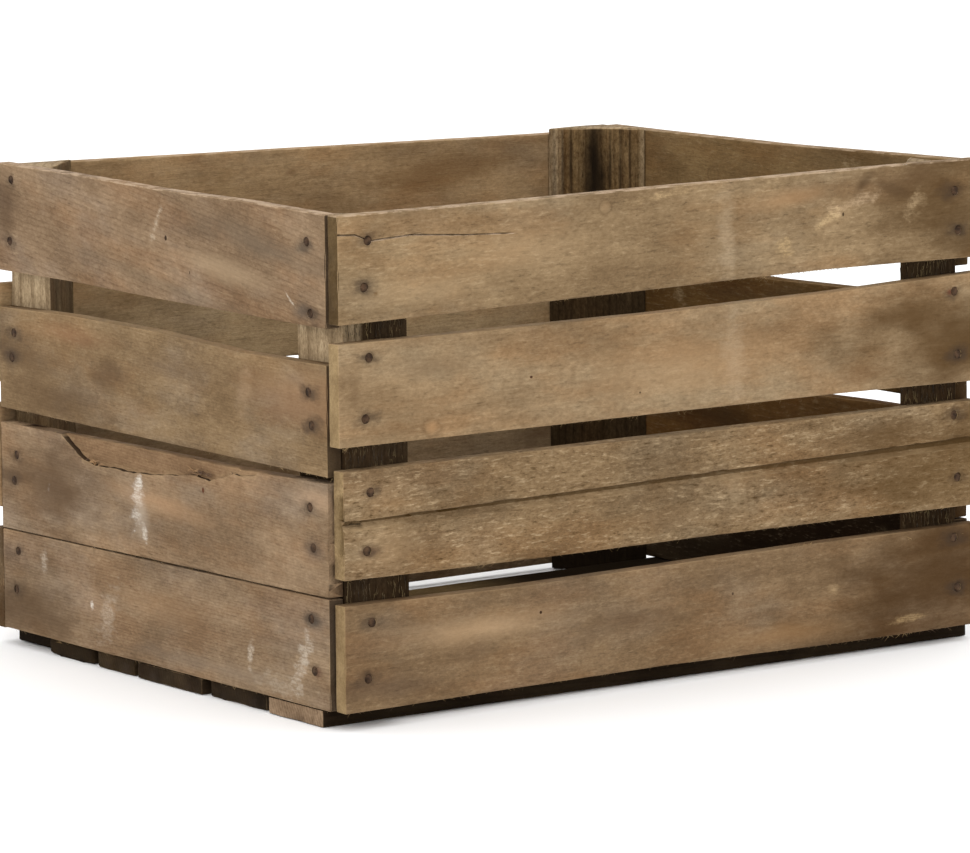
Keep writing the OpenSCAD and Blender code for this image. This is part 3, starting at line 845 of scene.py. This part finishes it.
# Splinters that still stand along the break, browner than the fibres because they are thicker
splinter_material = torn_fibre("flake_splinter", "#452D19", "#8E6D48")
chance = random.Random(230)
bm = bmesh.new()
SPLINTER_CLUSTERS = ((0.078, 0.131, 0.011, 16), (-0.044, 0.1385, 0.012, 26))
for middle_y, middle_z, spread, count in SPLINTER_CLUSTERS:
    for i in range(count):
        root = Vector((left_face + chance.uniform(0.6, 1.4) * MM, middle_y + chance.uniform(-1, 1) * spread,
                       middle_z + chance.uniform(-1.2, 1.2) * MM))
        heading = Vector((chance.uniform(0.0, 0.06), chance.choice((-1, 1)), chance.uniform(-0.2, 0.5)))
        length = chance.uniform(3.0, 9.0) * MM
        thick = chance.uniform(0.5, 1.1) * MM
        sliver(bm, root, heading.normalized(), Vector((0.02, 0.0, 0.0)), length, thick)
finish_piece("flake_splinters", bm, splinter_material, smooth_angle=70.0)


# The back wall: four long slats of the same sawn softwood as the front's.
# Each is nailed through its ends into the two rear corner posts.
BACK_TONES = {1: "#876E4F", 2: "#977F5E", 3: "#836D52", 4: "#55432F"}
BACK_MARKS = {
    1: [("stain", 230, 290, 7, 3, 10, "#5A3E26", 0.6), ("stain", 120, 296, 5, 2.5, 0, "#5A3E26", 0.5),
        ("stain", 340, 280, 90, 14, 0, "#6A4C2C", 0.45), ("smear", 180, 276, 14, 40, 3, "#8C7350", 0.3)],
    2: [("stain", 400, 210, 90, 20, 2, "#5A4530", 0.5), ("stain", 60, 196, 60, 26, 0, "#54412E", 0.5),
        ("scuff", 250, 204, 26, 7, 8, "#A89070", 0.5), ("hole", 310, 190, 1.2, 1.1, 0, "#2C1A10", 0.9)],
    3: [("stain", 120, 128, 90, 18, 0, "#503E2A", 0.5), ("stain", 440, 110, 70, 24, 0, "#54402C", 0.5),
        ("scuff", 330, 124, 9, 14, 30, "#A08A6C", 0.5), ("ring", 200, 118, 7, 6, 0, "#4A3724", 0.4)],
    4: [("stain", 250, 24, 200, 14, 0, "#30241A", 0.6), ("stain", 60, 50, 50, 24, 0, "#3A2C20", 0.5),
        ("scuff", 380, 40, 30, 5, 4, "#87745A", 0.4)],
}
for row in (1, 2, 3, 4):
    node = "back_slat_%d" % row
    wood = weathered_softwood("back_softwood_%d" % row, "wall_long", middle_of(node), 21 + row * 1.9,
                              (BACK_TONES[row], "#7E6F5C", "#2B2014"), nails=nails_in(node, "back_nails"),
                              marks=BACK_MARKS[row], start=mark_start(node, 0),
                              pith=(-0.07, 0.05 + 0.04 * row), grain=0.85, rings=0.06, relief=0.9, speck=0.25)
    piece = board(node, 0, 2, 21 + row * 1.9)
    # Wear and a painted highlight on the top slat's upper face
    painted(piece, "wear_and_highlight", lambda point, normal: 0.7 if normal.z > 0.3 and row == 1 else 0.0)
    finish_piece("back_slat_%d_worn" % row, piece, wood, [node])


# The right end wall: four slats like the left wall's, all of them whole, nailed to the right-hand posts.
# Their wood is painted darker lower down, as shade inside the crate.
RIGHT_SHADE_TONES = {1: "#6D5739", 2: "#523B1E", 3: "#5A3F20", 4: "#281C10"}
RIGHT_MARKS = {
    1: [("stain", 200, 262, 150, 10, 0, "#4E3A22", 0.4), ("scuff", 120, 290, 10, 16, 20, "#A08C6C", 0.5),
        ("ring", 262, 280, 7, 6, 0, "#4A3520", 0.4)],
    2: [("stain", 90, 190, 70, 26, 0, "#3E2E1A", 0.5), ("scuff", 300, 200, 6, 14, -15, "#8E7B5E", 0.5)],
    3: [("stain", 250, 120, 110, 16, 0, "#3A2A18", 0.5), ("scuff", 160, 108, 20, 5, 6, "#887558", 0.45)],
    4: [("stain", 200, 24, 160, 14, 0, "#1E150C", 0.5), ("scuff", 90, 50, 8, 14, 20, "#75644A", 0.4)],
}
for row in (1, 2, 3, 4):
    node = "right_slat_%d" % row
    wood = weathered_softwood("right_softwood_%d" % row, "wall_end", middle_of(node), 33 + row * 2.7,
                              (RIGHT_SHADE_TONES[row], "#665844", "#241A10"), nails=nails_in(node, "right_nails"),
                              marks=RIGHT_MARKS[row], start=mark_start(node, 1),
                              pith=(-0.05, 0.19 - 0.03 * row), ring=2.4, grain=0.7, rings=0.06,
                              grey=0.2, relief=0.9, speck=0.2)
    piece = board(node, 1, 2, 33 + row * 2.7)
    # Painted shade on both ends of each slat, where they meet the long walls inside the crate
    painted(piece, "painted_shade", lambda point, normal: 0.7 if abs(normal.y) > 0.7 else 0.0)
    # Wear and a painted highlight on the top slat's upper face
    painted(piece, "wear_and_highlight", lambda point, normal: 0.7 if normal.z > 0.3 and row == 1 else 0.0)
    finish_piece("right_slat_%d_worn" % row, piece, wood, [node])


# The corner posts: triangular bars ripped from a square on a rough saw.
# Their outer faces are bare between the end slats, and the left ones are paler as they lie in the light; the
# rest is furry, streaked and painted nearly black as shade.
SLANTS = ((0.7071, 0.7071, 0.0), (0.7071, -0.7071, 0.0))
# The near posts' tones are painted nearly black as shade in the gaps
NEAR_POST_SHADE_TONES = ("#382A1A", "#40362A", "#130D07")
POST_TONES = {"front_left": NEAR_POST_SHADE_TONES, "front_right": NEAR_POST_SHADE_TONES,
              "back_left": ("#65523A", "#5C4E3C", "#130D07"),
              "back_right": ("#5C482E", "#574834", "#130D07")}
# Dark streaks down the rear post's slope: kind, height, place across it, half lengths, tilt, colour, strength
REAR_POST_MARKS = [("stain", 275, 1, 90, 9, 0, "#140E08", 0.95),
                   ("stain", 290, -7, 60, 1.4, 0, "#1C140C", 0.9),
                   ("stain", 280, -12, 70, 1.6, 0, "#20170E", 0.9),
                   ("stain", 284, -16.5, 60, 1.2, 0, "#20170E", 0.85),
                   ("stain", 282, 12, 60, 1.5, 0, "#1C140C", 0.9),
                   ("stain", 290, 16, 60, 1.2, 0, "#20170E", 0.85),
                   ("stain", 276, 20, 70, 1.4, 0, "#1C140C", 0.9)]
for corner, seed in (("front_left", 41.0), ("front_right", 44.0), ("back_left", 47.0), ("back_right", 50.0)):
    node = "post_" + corner
    rear = corner == "back_right"
    wood = weathered_softwood("post_softwood_" + corner, "post", middle_of(node), seed,
                              POST_TONES[corner], marks=REAR_POST_MARKS if rear else (),
                              start=(-middle_of(node).z, 0.0), pith=(0.03, 0.05), ring=5.0, rings=0.3,
                              grain=2.2 if rear else 1.6, grey=0.3, relief=1.8, bare_and_painted_light="#948064")
    piece = board(node, 2, 0, seed, round_over=1.2, chips=1.6, ripple=1.6, facing=SLANTS)
    post_low, post_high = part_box(node)

    def bared_and_lit(point, normal):
        """Paler wood: the left posts' outer faces, paler as they lie in the light, a painted pool of light on
        the near post's front face where light falls in past the corner, the rear post's edges and the tops.
        """
        if normal.z > 0.7:
            return 0.7
        outer = corner.endswith("left") and normal.x < -0.7 and point.z > 0.2
        torn_and_lit = (corner == "front_left" and normal.y < -0.7
                and point.x < post_low.x + 13 * MM and point.z > 0.23)
        rim = (rear and point.z > 0.2
               and (point.x < post_low.x + 7 * MM or point.y < post_low.y + 3 * MM))
        return 1.0 if outer or torn_and_lit else 0.5 if rim else 0.0

    def stain_and_shade(point, normal):
        """Painted shade: darkest at the foot, deep on the rear post's lower part, light on the rest of the
        lower posts, and none higher up or on the left posts' outer faces.
        """
        if point.z < 0.02:
            return 0.95
        if rear and point.z < 0.25:
            return 0.7
        if point.z > 0.25 or (normal.x < -0.5 and point.z > 0.2):
            return 0.0
        return 0.2 if corner == "back_left" and point.z > 0.2 else 0.25

    painted(piece, "bare_and_painted_light", bared_and_lit)
    painted(piece, "painted_shade", stain_and_shade)
    finish_piece(node + "_worn", piece, wood, [node])

# Fibres stand on the front posts' faces where the saw tore them, and show in the gaps between slats
POST_FIBRES = 70
POST_FIBRE_THICK = 0.35 * MM
chance = random.Random(300)
post_fibre_material = torn_fibre("torn_post_fibre", "#2C2114", "#74623F")
bm = bmesh.new()
for corner in ("front_left", "front_right"):
    post_low, post_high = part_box("post_" + corner)
    for row in (1, 2, 3):
        gap_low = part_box("front_slat_%d" % (row + 1))[1].z
        gap_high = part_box("front_slat_%d" % row)[0].z
        for i in range(POST_FIBRES):
            root = Vector((chance.uniform(post_low.x + 1 * MM, post_high.x - 4 * MM), post_low.y + 0.6 * MM,
                           chance.uniform(gap_low - 4 * MM, gap_high + 2 * MM)))
            heading = Vector((chance.uniform(-0.1, 0.1), -chance.uniform(0.03, 0.2),
                              chance.choice((-1, 1)))).normalized()
            droop = Vector((chance.uniform(-0.1, 0.1), -0.03, 0.0))
            sliver(bm, root, heading, droop, chance.uniform(2.5, 7.0) * MM, POST_FIBRE_THICK)
finish_piece("post_fibres", bm, post_fibre_material, smooth_angle=70.0)


# The floor: five boards of uneven width, laid lengthways under the end walls and nailed up into them.
# They are painted dark as shade under the crate, and only the front board's left end, which lies in the
# light, is left tan.
FLOOR_SHADE_TONES = {
    1: ("#33281A", "#3A3124", "#100A06"),
    2: ("#221A11", "#2E261C", "#100A06"),
    3: ("#2C2217", "#383022", "#100A06"),
    4: ("#33281A", "#3A3124", "#100A06"),
    5: ("#5C4A30", "#54462F", "#100A06"),
}
for number in (1, 2, 3, 4, 5):
    node = "floor_board_%d" % number
    wood = weathered_softwood("floor_softwood_%d" % number, "floor", middle_of(node), 60 + number * 2.9,
                              FLOOR_SHADE_TONES[number], nails=nails_in(node, "floor_nails"), bare_and_painted_light="#8B755E")
    piece = board(node, 0, 1, 60 + number * 2.9, round_over=2.2 if number == 5 else 1.0,
                  chips=1.3, ripple=1.2)

    def floor_shade(point, normal):
        """Painted shade on the front board, all but its left end, and on the rear board: growing along its
        top towards the right, and strong on its other faces.
        """
        if number == 1:
            return 0.0 if normal.x < -0.5 else 0.6
        if number == 5:
            return min(0.9, max(0.0, (point.x - 0.06) / 0.07)) if normal.z > 0.5 else 0.85
        return 0.0

    # The front board's left end keeps a tan tone, as it lies in the light while the rest of the floor is
    # painted shade
    painted(piece, "bare_and_painted_light", lambda point, normal: 1.0 if number == 1 and normal.x < -0.5 else 0.0)
    painted(piece, "painted_shade", floor_shade)
    finish_piece("floor_board_%d_worn" % number, piece, wood, [node])
